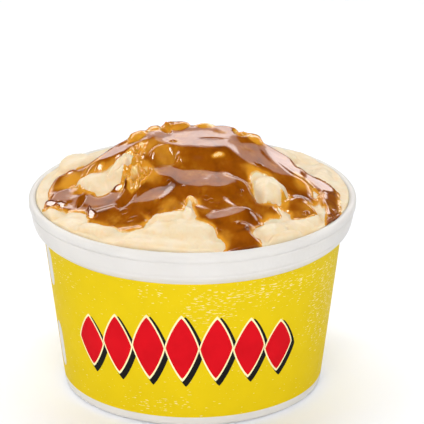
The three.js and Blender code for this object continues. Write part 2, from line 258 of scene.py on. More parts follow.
# Where the gravy ends in a thick bead, not a thin skim: x, y, half length, half width, turn.
THICK_EDGES = {
    "pool_front": (-43, -17, 10, 4, -25),
    "tip": (-35.5, -28, 4, 6, 0),
    "spike": (4, -33, 5, 6, 0),
    "tongue": (8, -47, 5, 8, 0),
    "drip_right": (37, -26, 7, 5, 0),
    "stream": (47, -24, 6, 9, 0),
}
# Small domes in the gravy: x, y, radius.
BUBBLES = (
    (-10.5, -29, 0.7), (-3, -25, 0.6), (3, -28, 0.6),
    (16.5, -43.5, 0.8), (8.5, -45.5, 0.7), (19, -45, 0.8), (40, -25.5, 0.8), (50, -18.5, 0.7),
    (-14.5, -34, 0.8), (-6, -35, 0.6),
    (27.5, -29, 0.8), (31, -27.5, 0.7), (29, -25.8, 0.8),
)
CRINKLE_RELIEF = 1.6  # depth of the folds in the broken potato
RUN_BLEND = 1.0  # softness of the corner where runs meet
BARE_BLEND = 0.8  # softness of the corner where a bare place cuts into them
EDGE_DIVE = 1.4  # how steeply the gravy goes down into the potato outside its outline
EDGE_KEPT = 0.7  # how much of that hidden edge is made
GRAVY_ROOT = 0.6  # depth of the gravy's underside in the potato
GRAVY_SKIN = 0.15  # least height of the gravy over the potato
INTO_WALL = {"mash": 0.15, "gravy": 0.1}  # how far each reaches into the lip, so no slit shows
MASH_GAP = 0.02  # between the potato and the wall below the lip

# Uneven waves laid over the food: height, length and seed of each layer.
WAVES = {
    "potato_x": ((1.6, 9, 1), (0.6, 3.5, 2)),
    "potato_y": ((1.6, 9, 3), (0.6, 3.5, 4)),
    "grain": ((1, 1.3, 7), (0.6, 0.7, 8)),
    "outline_x": ((0.8, 6.5, 21), (0.2, 2.3, 22)),
    "outline_y": ((0.8, 6.5, 23), (0.2, 2.3, 24)),
    "ripple": ((0.14, 10, 9), (0.03, 3.7, 10)),
    "depth": ((0.25, 14, 11),),
}
CURDS = ((7.5, 5), (3.1, 6))  # spacing and seed of the coarse and the fine curds
TILE = 64  # waves or curds after which a pattern repeats
CALM_RIM = (51.5, 55)  # radii between which the curds fade out towards the wall


# ---- the tub and its print: places and sizes in millimetres -------------

# The tub's outline, as steps outwards and upwards from a place on it.
WALL_EDGE = ((0.08, 0.12), (0.3, 0.4))  # from the top of the wall
SHOULDER = (  # from the foot of the collar
    (-2.0, -2.8), (-1.1, -1.9), (-0.5, -1.0), (-0.2, -0.35), (-0.28, 0), (0, 0.25), (0.2, 0.8)
)
GROOVE = ((-0.08, -0.7), (-0.05, -0.35), (-0.4, 0))  # from the collar's top, under the bead
BEAD_FOOT = ((-0.35, 0.3), (-0.06, 0.8))  # from the bead's widest place, above the groove
UNDER_FLOOR = ((0, 0), (12, 0), (12.5, -0.35), (13, 0), (37, 0))  # with a ring pressed in it
RECESS_ROUND = (37.2, 0.7)  # radius of the recess's edge, and its rounding
FOOT_RING = ((38.3, 0.35), (38.7, 0), (42.6, 0))  # what the tub stands on
LIP_DROP = 1.2  # from the lip's crest to the foot of its inner side
INNER_STEP = 0.6  # how far in and up the inside is above the collar's foot
INNER_CORNER = 3  # bevel between the inside of the wall and the floor

WALL_MIDDLE = 34  # height that the camera's up step is measured from
INK_ROOT = -0.05  # inner side of a plate of ink, just inside the foam
TRUE_HEIGHT = 30.0  # height at which millimetres round the wall are true
WEAR_RADIUS = 50  # radius that turns angles into millimetres for the worn print
SEAM_PLACE = -65.2  # millimetres round the wall from the front
SEAM_TABS = ((40.5, 55.8), (9.3, 26.5))  # lower and upper end of each bare tab
# The band of lozenges: its middle round the wall, spacing as a share of a lozenge's width, and
# how far the last ones sink and shrink.
BAND = {"middle": -3.5, "spacing": 1.07, "sink": 3.0, "shrink": 0.22}
FULLNESS = 1.22  # 1 gives a lozenge straight sides, 2 makes an oval of it
DASH = (2.3, 0.36)  # length and height of the waves that the worn dashes follow
# Where the print has worn: millimetres round the wall, height, half length, half height, how far.
WORN = {
    "top_right": (34, 52, 42, 6, 0.8),
    "middle": (6, 46, 13, 8, 0.7),
    "right": (60, 36, 17, 20, 0.75),
    "top_left": (-13, 53.5, 9, 2.5, 0.7),
    "left": (-58, 49, 18, 6, 0.6),
    "foot": (-12, 9, 16, 4, 0.65),
    "back_right": (108, 46, 26, 9, 0.7),
    "back_left": (-118, 44, 24, 10, 0.65),
    "behind": (150, 18, 22, 8, 0.6),
    "all_over": (0, 30, 220, 60, 0.3),
}
FOAM_BEAD = 1.6  # size of the beads of the moulded foam

# Soft boxes round the stage: place and size in metres, watts, tint, and what they light.
LIGHTS = {
    "back_low_box": ((0.0, 0.91, 0.61), (2.0, 0.28), 10, (1.0, 0.97, 0.97), "gloss"),
    "back_high_box": ((0.0, 0.77, 0.79), (2.0, 0.26), 4.5, (1.0, 0.97, 0.95), "gloss"),
    "back_side_box": ((0.5, 0.85, 0.52), (0.34, 0.26), 0.5, (0.97, 0.98, 1.0), "gloss"),
    "glint_box": ((-0.22, -0.885, 0.995), (0.44, 0.3), 15, (1, 0.99, 0.96), "gloss"),
    "top_box": ((-0.05, 0.32, 1.25), (1.3, 1.1), 11.5, (1, 1, 1), "all but gloss"),
    "front_soft_box": ((-0.02, -1.3, 0.62), (1.2, 0.9), 17.5, (1, 1, 1), "all"),
    "left_soft_box": ((-1.1, 0.25, 0.5), (0.4, 0.4), 5.9, (1, 0.98, 0.95), "all"),
    "right_soft_box": ((1.1, 0.2, 0.5), (0.4, 0.4), 4.9, (1, 1, 1), "all"),
}


# ---- settings that a user would change ----------------------------------


def length(name, description, default_mm, low_mm=0.0, high_mm=500.0):
    return FloatProperty(
        name=name,
        description=description,
        default=default_mm * MM,
        min=low_mm * MM,
        max=high_mm * MM,
        precision=5,
        unit="LENGTH",
    )


def colour(name, description, default):
    return FloatVectorProperty(
        name=name, description=description, default=default, size=3, min=0, max=1, subtype="COLOR"
    )


def share(name, description, default, high=1.0):
    return FloatProperty(name=name, description=description, default=default, min=0, max=high)


class TubSettings(bpy.types.PropertyGroup):
    lip_radius: length("Lip radius", "Widest part of the lip bead", LIP_RADIUS / MM)
    height: length("Height", "From the foot to the crest of the lip", TUB_HEIGHT / MM)
    lip_inner: length("Inner lip radius", "Where the food meets the lip", 55.3)
    lip_depth: length("Lip depth", "Height of the lip bead", 3.6)
    collar_top: length("Collar top radius", "Collar just under the bead", 57.5)
    collar_foot: length("Collar foot radius", "Collar just above the shoulder", 56.4)
    collar_foot_height: length("Collar foot height", "Lower groove above the foot", 60.8)
    wall_top: length("Wall top radius", "Tapered wall under the shoulder", 52.9)
    wall_top_height: length("Wall top height", "Upper edge of the print", 56.9)
    wall_foot: length("Wall foot radius", "Tapered wall carried on to the floor line", 45.7)
    corner: length("Corner radius", "Rounding between the wall and the foot", 2.4)
    wall: length("Wall thickness", "Thickness of the moulded foam", 2.4)
    floor: length("Floor height", "Top of the inner floor", 3.8)
    recess: length("Foot recess", "Depth of the hollow under the floor", 1.6)
    segments: IntProperty(name="Segments", description="Faces round the tub", default=256, min=32)
    foam: colour("Foam", "White of the moulded foam", (0.657, 0.633, 0.600))
    foam_roughness: share("Foam roughness", "Satin of the foam's skin", 0.42)


class PrintSettings(bpy.types.PropertyGroup):
    yellow: colour("Yellow", "Field colour of the wall", (0.68, 0.495, 0.007))
    red: colour("Red", "Lozenges of the band", (0.60, 0.006, 0.012))
    black: colour("Black", "Drop shadow of the lozenges", (0.012, 0.011, 0.010))
    cream: colour("Cream", "Keyline round the lozenges", (0.90, 0.80, 0.45))
    worn: colour("Worn", "Foam that shows where the ink has worn off", (0.95, 0.88, 0.62))
    foot_edge: length("Lower edge", "Height of the print's lower edge", 3.9)
    lozenges: IntProperty(name="Lozenges", description="Lozenges in the band", default=7, min=1)
    lozenge_width: length("Lozenge width", "Width of the middle lozenge", 11.2)
    lozenge_height: length("Lozenge height", "Height of the middle lozenge", 24.0)
    band_height: length("Band height", "Height of the band's middle above the foot", 31.5)


class MashSettings(bpy.types.PropertyGroup):
    cream: colour("Potato", "Potato in the light", (0.71, 0.605, 0.43))
    # Painted shade: the potato is coloured darker and deeper yellow deep in its creases, and the
    # same colour also comes in at random patches.
    crease_shade_and_mottle: colour("Creases", "Potato deep in its creases", (0.72, 0.525, 0.29))
    curd_relief: length("Curd relief", "Depth of the creases between soft curds", 0.7)
    grain_relief: length("Grain relief", "Depth of the fine grain", 0.1)
    cells: IntProperty(name="Grid cells", description="Grid cells across", default=280, min=40)


class GravySettings(bpy.types.PropertyGroup):
    depth: length("Depth", "Depth of the gravy away from its edges", 1.3)
    film: length("Film", "Gravy left on the lumps that stand out of it", 0.3)
    bead: length("Edge bead", "Width of the thin edge", 2.8)
    skim: colour("Skim of gravy", "Where it fades out on the potato", (0.78, 0.53, 0.22))
    thin: colour("Thin gravy", "Where it barely covers the potato", (0.63, 0.275, 0.02))
    middling: colour("Gravy", "At its usual depth", (0.265, 0.066, 0.0))
    deep: colour("Deep gravy", "Where it gathers", (0.13, 0.026, 0.0))
    roughness: share("Roughness", "Wet gloss", 0.1)


class StageSettings(bpy.types.PropertyGroup):
    floor: colour("Floor", "Pale floor", (0.90, 0.92, 0.97))
    sky: share("Sky", "Strength of the even light from all round", 0.06, 10)
    elevation: FloatProperty(
        name="Camera elevation",
        description="Above the horizon",
        default=math.radians(21.28),
        subtype="ANGLE",
    )
    distance: length("Camera distance", "Along the view", 1429, 100, 5000)
    side_step: length("Camera side step", "To the right of the tub's axis", 6.9)
    up_step: length("Camera up step", "Above the middle of the tub's wall", 27.02)
    lens: FloatProperty(name="Lens", description="Focal length in millimetres", default=339.6)


class PotatoSideSettings(bpy.types.PropertyGroup):
    tub: PointerProperty(type=TubSettings)
    wall_print: PointerProperty(type=PrintSettings)
    mash: PointerProperty(type=MashSettings)
    gravy: PointerProperty(type=GravySettings)
    stage: PointerProperty(type=StageSettings)


# ---- shape of the food --------------------------------------------------


def smooth_step(low, high, value):
    t = np.clip((value - low) / (high - low), 0, 1)
    return t * t * (3 - 2 * t)


def smooth_max(a, b, softness):
    part = np.clip(0.5 + 0.5 * (a - b) / softness, 0, 1)
    return b + (a - b) * part + softness * part * (1 - part)


def ellipse_reach(x, y, centre_x, centre_y, half_length, half_width, turn):
    """0 at the middle of a turned ellipse and 1 on its outline."""
    c, s = math.cos(math.radians(turn)), math.sin(math.radians(turn))
    dx, dy = x - centre_x, y - centre_y
    return np.hypot((dx * c + dy * s) / half_length, (dy * c - dx * s) / half_width)


def inside_run(x, y, start, end):
    """Distance inside a tapered run, negative outside it."""
    (x1, y1, r1), (x2, y2, r2) = start, end
    dx, dy = x2 - x1, y2 - y1
    t = np.clip(((x - x1) * dx + (y - y1) * dy) / (dx * dx + dy * dy), 0, 1)
    return r1 + (r2 - r1) * t - np.hypot(x - x1 - t * dx, y - y1 - t * dy)


def swell(x, y, wave, seed):
    """Smooth uneven waves from about -1 to 1, about one wave long."""
    angle = np.random.default_rng(seed).uniform(0, 2 * math.pi, (TILE, TILE))
    lean_x, lean_y = np.cos(angle), np.sin(angle)
    u, v = x / wave, y / wave
    column, row = np.floor(u).astype(int), np.floor(v).astype(int)
    u, v = u - column, v - row

    def corner(right, up):
        a, b = (column + right) % TILE, (row + up) % TILE
        return lean_x[a, b] * (u - right) + lean_y[a, b] * (v - up)

    ease_u, ease_v = u**3 * (u * (u * 6 - 15) + 10), v**3 * (v * (v * 6 - 15) + 10)
    low = corner(0, 0) * (1 - ease_u) + corner(1, 0) * ease_u
    high = corner(0, 1) * (1 - ease_u) + corner(1, 1) * ease_u
    return 1.5 * (low * (1 - ease_v) + high * ease_v)


def waves(name, x, y, start=0):
    """The named layers of waves, added to what they start from."""
    value = start
    for height, wave, seed in WAVES[name]:
        value = value + height * swell(x, y, wave, seed)
    return value


def curds(x, y, spacing, seed):
    """1 on top of soft lumps of uneven size packed side by side, and 0 deep between them."""
    draw = np.random.default_rng(seed)
    stray = draw.uniform(0.1, 0.9, (2, TILE, TILE))
    bulk = draw.uniform(0.65, 1.1, (TILE, TILE))
    u, v = x / spacing, y / spacing
    column, row = np.floor(u).astype(int), np.floor(v).astype(int)
    height = np.full_like(x, -1.0)
    for right in (-1, 0, 1):
        for up in (-1, 0, 1):
            a, b = (column + right) % TILE, (row + up) % TILE
            away = np.hypot(u - column - right - stray[0, a, b], v - row - up - stray[1, a, b])
            height = smooth_max(height, 1 - (away / bulk[a, b]) ** 2, 0.15)
    return np.clip(height, 0, 1)


def folds(x, y, wave, seed):
    """1 along sharp winding folds and about -1 between them."""
    return 1 - 4 * np.abs(swell(x, y, wave, seed))


def within(places, x, y, inner=0.6, outer=1.2):
    """1 inside the named ellipses and 0 away from them."""
    part = np.zeros_like(x)
    for middle in places.values():
        part = np.maximum(part, 1 - smooth_step(inner, outer, ellipse_reach(x, y, *middle)))
    return part


def slope(x, y, place, level, slope_x, slope_y):
    """A flat slope that has a level at a place."""
    return level + slope_x * (x - place[0]) + slope_y * (y - place[1])


def hill_height(x, y):
    """The heap without its lumps, above the food level."""
    dx, dy = x - HILL["x"], y - HILL["y"]
    across = np.abs(dx) / np.where(dx < 0, HILL["left"], HILL["right"])
    along = np.abs(dy) / np.where(dy < 0, HILL["front"], HILL["back"])
    across, along = across**HILL_ROUNDNESS, along**HILL_ROUNDNESS
    lean = across / np.maximum(across + along, 1e-6)
    fall = lean * FALL["side"] + (1 - lean) * np.where(dy < 0, FALL["front"], FALL["back"])
    hill = HILL["height"] * 2 ** -((across + along) ** (fall / HILL_ROUNDNESS))
    near_edge = smooth_step(EDGE["from"], EDGE["to"], np.hypot(x, y))
    height = hill * (1 - (1 - EDGE["keep"]) * near_edge) + EDGE["lift"]
    for place in LEDGES.values():
        part = 1 - smooth_step(*LEDGE_EDGE, ellipse_reach(x, y, *place[:5]))
        height = height + part * (slope(x, y, place, *place[5:]) - height)
    return height


def round_rim(x, y, height):
    """The food rounded over where it meets the wall."""
    inward = RIM["radius"] - np.hypot(x, y)
    t = np.clip(inward / RIM["width"], 0, 1)
    limit = RIM["wall"] + RIM["height"] * np.sqrt(t * (2 - t))
    limit = limit + RIM["rise"] * np.clip(inward - RIM["width"], 0, None)
    return -smooth_max(-height, -limit, 0.6)


def lump_height(x, y, height):
    """The hill with its named lumps."""
    for *middle, top, cap in LUMPS.values():
        reach = ellipse_reach(x, y, *middle)
        dome = cap * np.sqrt(np.clip(1 - reach**2, 0, None))
        fall = LUMP_SIDE * np.clip(reach - 1, 0, None)
        height = smooth_max(height, top - cap + dome - fall, LUMP_BLEND)
    return height


def crease_depth(x, y, step=1.3, full=0.45):
    """0 on open potato and 1 deep in the creases between lumps."""
    here = lump_height(x, y, hill_height(x, y))
    beside = ((step, 0), (-step, 0), (0, step), (0, -step))
    around = sum(lump_height(x + a, y + b, hill_height(x + a, y + b)) for a, b in beside) / 4
    return np.clip((around - here) / full, 0, 1)


def gravy_cover(x, y):
    """Distance inside the gravy's outline, negative where the potato is bare."""
    x = waves("outline_x", x, y, x)
    y = waves("outline_y", x, y, y)
    cover = np.full_like(x, -60.0)
    for start, end in RUNS.values():
        cover = smooth_max(cover, inside_run(x, y, start, end), RUN_BLEND)
    for start, end in BARE.values():
        cover = -smooth_max(-cover, inside_run(x, y, start, end), BARE_BLEND)
    return cover


def bubble_height(x, y):
    """Small domes where bubbles and grains stand in the gravy."""
    height = np.zeros_like(x)
    for centre_x, centre_y, radius in BUBBLES:
        reach = np.hypot(x - centre_x, y - centre_y) / radius
        height = np.maximum(height, 0.55 * radius * np.clip(1 - reach**2, 0, None) ** 0.7)
    return height


def add_facets(x, y, height):
    """The surface with its small flat places."""
    for place in FACETS.values():
        reach = ellipse_reach(x, y, *place)
        level = height.flat[np.argmin(reach)] + 0.1 * place[3]
        part = 1 - smooth_step(0.65, 1.3, reach)
        height = height + part * (slope(x, y, place, level, *FACET_SLOPE) - height)
    return height


def food_fields(x, y, mash, gravy):
    """Heights of the potato and the gravy over a set of places, in millimetres."""
    warp_x, warp_y = waves("potato_x", x, y, x), waves("potato_y", x, y, y)
    hill = hill_height(x, y)
    smooth = round_rim(x, y, lump_height(warp_x, warp_y, hill))
    hill = round_rim(x, y, hill)

    # Curds and grain over the smooth lumps, and folds where the potato is broken.
    calm = 1 - smooth_step(*CALM_RIM, np.hypot(x, y))
    relief = mash.curd_relief / MM
    coarse, fine = (curds(warp_x, warp_y, *layer) - 0.55 for layer in CURDS)
    grain = mash.grain_relief / MM * waves("grain", x, y)
    bumps = relief * (coarse + 0.32 * fine) * calm + grain
    crinkle = within(CRINKLES, warp_x, warp_y)
    broken = 0.5 * folds(warp_x + 0.4 * warp_y, 0.6 * warp_y, 5.5, 12) + 0.3 * folds(x, y, 3.0, 13)
    potato = smooth + bumps + CRINKLE_RELIEF * crinkle * broken

    # The gravy is thin at its outline, lies level further in and clings to what stands out.
    cover = gravy_cover(x, y)
    thick = within(THICK_EDGES, x, y)
    edge = np.clip(cover / (gravy.bead / MM * (1 - 0.55 * thick)), 0, 1)
    edge = edge * (2 - edge)
    thickness = gravy.depth / MM * (0.35 * np.sqrt(edge) + 0.65 * edge)
    inner = smooth_step(0, 3.0 - 1.8 * thick, cover)
    surface = hill + thickness + waves("ripple", x, y) + 0.1 * relief
    film = gravy.film / MM * np.sqrt(edge)
    level = smooth_max(surface, smooth + 0.35 * bumps + film, 0.6)
    level = level + crinkle * (smooth + 0.9 * CRINKLE_RELIEF * broken + film - level)
    level = np.maximum(level, potato + 0.5 * film)
    skin = potato + thickness * 0.8
    top = skin * (1 - inner) + level * inner + bubble_height(x, y)
    top = np.maximum(add_facets(x, y, top), potato + GRAVY_SKIN)
    dive = EDGE_DIVE * np.clip(-cover, 0, None)
    top = np.where(cover > 0, top, potato - dive)

    # How deep the gravy looks, which gives its colour.
    shoal = np.zeros_like(x)
    for *middle, strength in SHOALS.values():
        part = 1 - smooth_step(0.3, 1.3, ellipse_reach(warp_x, warp_y, *middle))
        shoal = np.maximum(shoal, strength * part)
    depth = waves("depth", x, y, top - smooth - 1.2 * bumps) * (1 - shoal)
    depth = depth * (1 - 0.4 * crinkle) + crinkle * (0.08 - 0.75 * broken)
    return {
        "potato": potato,
        "gravy": top,
        "under": potato - GRAVY_ROOT - dive,
        "cover": cover,
        "depth": np.clip(depth, 0, None) * (0.25 + 0.75 * edge),
        # Painted shade: how deep the potato lies in its creases and between its curds, which
        # darkens its colour.
        "hollow": np.clip((smooth - potato) / relief + 0.35 + crease_depth(x, y), 0, 1),
    }


def disc_grid(cells, radius):
    """Places on a disc from an even square grid, as (cells + 1) rows and columns."""
    side = np.linspace(-1, 1, cells + 1)
    a, b = np.meshgrid(side, side)
    wide = np.abs(a) > np.abs(b)
    reach = np.where(wide, a, b)
    other = np.where(wide, b, a)
    turn = math.pi / 4 * other / np.where(reach == 0, 1, reach)
    angle = np.where(wide, turn, math.pi / 2 - turn)
    return radius * reach * np.cos(angle), radius * reach * np.sin(angle)


def above_food_level(x, y, height):
    """The points of a grid that stands at its heights above the food level."""
    return np.stack([x, y, FOOD_LEVEL + height], -1).reshape(-1, 3)


def grid_quads(cells):
    """Corner numbers of a square grid's faces, seen from above anticlockwise."""
    first = np.arange(cells)[:, None] * (cells + 1) + np.arange(cells)[None, :]
    return np.stack([first, first + 1, first + cells + 2, first + cells + 1], -1)


def grid_rim(cells):
    """Corner numbers round the outside of the grid, anticlockwise from above."""
    n = cells + 1
    along = np.arange(cells)
    return np.concatenate(
        [along, along * n + cells, cells * n + cells - along, (cells - along) * n]
    )


def close_corners(kept):
    """Keep more grid faces until no two kept ones meet at a corner alone."""
    left_low, right_low = kept[:-1, :-1], kept[:-1, 1:]
    left_high, right_high = kept[1:, :-1], kept[1:, 1:]
    touching = True
    while np.any(touching):
        rising = left_low & right_high & ~left_high & ~right_low
        touching = rising | (left_high & right_low & ~left_low & ~right_high)
        for part in (left_low, right_low, left_high, right_high):
            part |= touching


# ---- mesh and material helpers ------------------------------------------


def add_object(name, data):
    new_object = bpy.data.objects.new(name, data)
    bpy.context.scene.collection.objects.link(new_object)
    return new_object


def add_piece(name, vertices, faces, materials, face_material=None, smooth=True):
    """A new object from millimetre places and faces, riding on the root body."""
    mesh = bpy.data.meshes.new(name)
    mesh.from_pydata((np.asarray(vertices) * MM).tolist(), [], [list(f) for f in faces])
    for material in materials:
        mesh.materials.append(material)
    if face_material is not None:
        mesh.polygons.foreach_set("material_index", np.asarray(face_material, np.int32))
    mesh.polygons.foreach_set("use_smooth", np.full(len(mesh.polygons), smooth))
    if mesh.validate():
        raise RuntimeError(f"{name} has faces that do not hold together")
    piece = add_object(name, mesh)
    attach(piece, "root")
    return piece


def keep_on_points(piece, name, values):
    attribute = piece.data.attributes.new(name, "FLOAT", "POINT")
    attribute.data.foreach_set("value", np.asarray(values, np.float32))


class Finish:
    """A node material that is put together in a few steps."""

    def __init__(self, name, **shader_values):
        self.material = bpy.data.materials.new(name)
        self.material.use_nodes = True
        self.tree = self.material.node_tree
        self.shader = self.tree.nodes["Principled BSDF"]
        for socket, value in shader_values.items():
            self.set(self.shader.inputs[socket.replace("_", " ")], value)

    def set(self, socket, value):
        if isinstance(value, bpy.types.NodeSocket):
            self.tree.links.new(value, socket)
        elif hasattr(socket.default_value, "__len__") and len(value) < len(socket.default_value):
            socket.default_value = (*value, 1)
        else:
            socket.default_value = value

    def node(self, kind, inputs, output=0, **settings):
        node = self.tree.nodes.new("ShaderNode" + kind)
        for key, value in settings.items():
            setattr(node, key, value)
        for key, value in inputs.items():
            self.set(node.inputs[key], value)
        return node.outputs[output]

    def place(self):
        """Object coordinates in millimetres."""
        where = self.node("TexCoord", {}, "Object")
        return self.node("Mapping", {"Vector": where, "Scale": (1 / MM, 1 / MM, 1 / MM)})

    def noise(self, wave, detail=2.0):
        """Noise from 0 to 1 with waves about so many millimetres long."""
        inputs = {"Vector": self.place(), "Scale": 1 / wave, "Detail": detail}
        return self.node("TexNoise", inputs, "Fac")

    def cloud(self, wave, to_low=0.0, to_high=1.0, detail=2.0, low=0.3, high=0.7):
        """Noise stretched to run from one value to another."""
        return self.ramp(self.noise(wave, detail), low, high, to_low, to_high)

    def ramp(self, value, low, high, to_low=0.0, to_high=1.0):
        inputs = {0: value, 1: low, 2: high, 3: to_low, 4: to_high}
        return self.node("MapRange", inputs, interpolation_type="SMOOTHSTEP")

    def mix(self, share_of_b, a, b):
        inputs = {0: share_of_b, 6: a, 7: b}
        return self.node("Mix", inputs, 2, data_type="RGBA")

    def mottled(self, cloud, tint, darkest):
        """A tint that a cloud darkens to a share of itself."""
        return self.mix(cloud, tint, tuple(darkest * c for c in tint))

    def maths(self, operation, a, b):
        return self.node("Math", {0: a, 1: b}, operation=operation)

    def colour_from(self, socket):
        self.set(self.shader.inputs["Base Color"], socket)

    def roughness_from(self, socket):
        self.set(self.shader.inputs["Roughness"], socket)

    def relief_from(self, height, depth_mm):
        inputs = {"Height": height, "Distance": depth_mm * MM, "Strength": 1.0}
        self.set(self.shader.inputs["Normal"], self.node("Bump", inputs))

    def foam_beads(self, depth_mm):
        """The low domes of the foam's beads, which show through ink too."""
        inputs = {"Vector": self.place(), "Scale": 1 / FOAM_BEAD}
        beads = self.node("TexVoronoi", inputs, "Distance")
        self.relief_from(self.ramp(beads, 0.0, 0.8, 1.0, 0.0), depth_mm)


# ---- finishes -----------------------------------------------------------


def foam_finish(tub):
    foam = Finish(
        "tub_foam",
        Roughness=tub.foam_roughness,
        Specular_IOR_Level=0.2,
        Subsurface_Weight=0.15,
        Subsurface_Radius=(2.0, 1.8, 1.5),
        Subsurface_Scale=MM,
    )
    foam.colour_from(foam.mottled(foam.cloud(16, low=0.35, high=0.65), tub.foam, 0.965))
    foam.foam_beads(0.02)
    foam.roughness_from(foam.cloud(5, 0.38, 0.48))
    return foam.material


def worn_dashes(coat):
    """0 where ink holds and up to 0.6 in the short dashes that the wear attribute wears off."""
    x, y, z = coat.node("SeparateXYZ", {"Vector": coat.place()}).node.outputs
    turn = coat.maths("ARCTAN2", x, coat.maths("MULTIPLY", y, -1))
    along = coat.maths("MULTIPLY", turn, WEAR_RADIUS / DASH[0])
    where = coat.node("CombineXYZ", {"X": along, "Z": coat.maths("DIVIDE", z, DASH[1])})
    flecks = coat.node("TexNoise", {"Vector": where, "Scale": 1.0, "Detail": 2.0}, "Fac")
    wear = coat.maths("MULTIPLY", coat.node("Attribute", {}, "Fac", attribute_name="wear"), 0.2)
    return coat.maths("MULTIPLY", coat.ramp(coat.maths("ADD", flecks, wear), 0.73, 0.81), 0.6)


def ink_finish(name, ink, darkest=0.9, bare=None):
    """Matt ink; where a bare colour is given, it shows through in worn dashes."""
    coat = Finish(name, Roughness=0.5, Specular_IOR_Level=0.02)
    shade = coat.mottled(coat.cloud(9, detail=3), ink, darkest)
    if bare is not None:
        shade = coat.mix(worn_dashes(coat), shade, bare)
    coat.colour_from(shade)
    coat.foam_beads(0.015)
    coat.roughness_from(coat.cloud(2.5, 0.42, 0.55))
    return coat.material


def mash_finish(mash):
    potato = Finish(
        "mash_cream",
        Roughness=0.5,
        Subsurface_Weight=0.35,
        Subsurface_Radius=(3.2, 2.0, 0.9),
        Subsurface_Scale=MM,
        Specular_IOR_Level=0.3,
        Coat_Weight=0.05,
        Coat_Roughness=0.32,
    )
    # Painted shade: the colour runs from cream to the darker crease colour deep in the creases,
    # half of it by random patches.
    hollow = potato.node("Attribute", {}, "Fac", attribute_name="hollow")
    mottle = potato.cloud(4.5, detail=3, high=0.75)
    depth = potato.maths("MULTIPLY", potato.maths("ADD", hollow, mottle), 0.5)
    potato.colour_from(potato.mix(depth, mash.cream, mash.crease_shade_and_mottle))
    potato.relief_from(potato.noise(0.9, 3), 0.12)
    potato.roughness_from(potato.cloud(3, 0.42, 0.6))
    return potato.material


def gravy_finish(gravy):
    sauce = Finish(
        "gravy_brown",
        Roughness=gravy.roughness,
        IOR=1.36,
        Subsurface_Weight=0.3,
        Subsurface_Radius=(1.6, 0.6, 0.15),
        Subsurface_Scale=MM,
    )
    depth = sauce.node("Attribute", {}, "Fac", attribute_name="depth")
    depth = sauce.maths("ADD", depth, sauce.cloud(7, -0.08, 0.08))
    faint = sauce.mix(sauce.ramp(depth, -0.02, 0.13), gravy.skim, gravy.thin)
    shallow = sauce.mix(sauce.ramp(depth, 0.1, 1.15), faint, gravy.middling)
    sauce.colour_from(sauce.mix(sauce.ramp(depth, 1.05, 2.0), shallow, gravy.deep))
    sauce.relief_from(sauce.noise(2.2), 0.03)
    sauce.roughness_from(sauce.cloud(4, 0.07, 0.12))
    return sauce.material


def floor_finish(stage):
    glow = {"Emission_Color": (1, 1, 1), "Emission_Strength": 0.02}
    floor = Finish("stage_floor", Roughness=0.7, **glow)
    floor.colour_from(floor.mottled(floor.cloud(60), stage.floor, 0.99))
    return floor.material


# ---- pieces -------------------------------------------------------------


def wall_radius(tub, height):
    """Radius of the tapered wall at a height, in millimetres."""
    rise = height / (tub.wall_top_height / MM)
    return (tub.wall_foot + (tub.wall_top - tub.wall_foot) * rise) / MM


def arc(centre_r, centre_z, radius, from_degrees, to_degrees, steps):
    angles = np.radians(np.linspace(from_degrees, to_degrees, steps + 1))
    return [(centre_r + radius * math.cos(a), centre_z + radius * math.sin(a)) for a in angles]


def inner_wall(tub, gap=0.0):
    """Inside of the tub from the lip down to the floor, as (radius, height)."""
    lip, wall, floor = tub.lip_inner / MM, tub.wall / MM, tub.floor / MM
    corner_top = floor + INNER_CORNER
    return [
        (lip - gap, tub.height / MM - LIP_DROP),
        (lip - INNER_STEP - gap, tub.collar_foot_height / MM + INNER_STEP),
        (tub.wall_top / MM - wall - gap, tub.wall_top_height / MM),
        (wall_radius(tub, corner_top) - wall - gap, corner_top),
        (wall_radius(tub, floor) - wall - INNER_CORNER - gap, floor + gap),
    ]


def steps_from(radius, height, steps):
    """Outline points at steps outwards and upwards from a place."""
    return [(radius + out, height + up) for out, up in steps]


def tub_profile(tub, print_foot):
    """Outline of the tub from the middle of its underside round to its inner floor."""
    height, lip = tub.height / MM, tub.lip_radius / MM
    corner, recess, top = tub.corner / MM, tub.recess / MM, tub.wall_top_height / MM
    groove = height - tub.lip_depth / MM
    bead = (lip - tub.lip_inner / MM) / 2
    edge, rounding = RECESS_ROUND
    return [
        *steps_from(0, recess, UNDER_FLOOR),
        *arc(edge, recess - rounding, rounding, 80, 0, 4),
        *FOOT_RING,
        *arc(wall_radius(tub, corner) - corner, corner, corner, -82, -4, 8),
        *((wall_radius(tub, z), z) for z in np.linspace(print_foot, top, 12)),
        *steps_from(tub.wall_top / MM, top, WALL_EDGE),
        *steps_from(tub.collar_foot / MM, tub.collar_foot_height / MM, SHOULDER),
        *steps_from(tub.collar_top / MM, groove, GROOVE),
        *steps_from(lip, groove, BEAD_FOOT),
        *arc(lip - bead, height - bead, bead, 0, 180, 18),
        *inner_wall(tub)[1:],
    ]


def lathe(profile, segments):
    """Vertices and faces of a profile turned about the axis; both its ends are closed."""
    turn = np.linspace(0, 2 * math.pi, segments, endpoint=False)
    rings = [(r, z) for r, z in profile if r > 0]
    vertices = [(r * math.sin(t), -r * math.cos(t), z) for r, z in rings for t in turn]
    around = np.arange(segments)
    following = (around + 1) % segments
    low = np.arange(len(rings) - 1)[:, None] * segments
    high = low + segments
    sides = [low + around, low + following, high + following, high + around]
    faces = np.stack(sides, -1).reshape(-1, 4).tolist()
    first, last = len(vertices), len(vertices) + 1
    vertices += [(0, 0, rings[0][1]), (0, 0, rings[-1][1])]
    top = (len(rings) - 1) * segments
    faces += [[first, b, a] for a, b in zip(around.tolist(), following.tolist())]
    faces += [[last, top + a, top + b] for a, b in zip(around.tolist(), following.tolist())]
    return np.array(vertices), faces


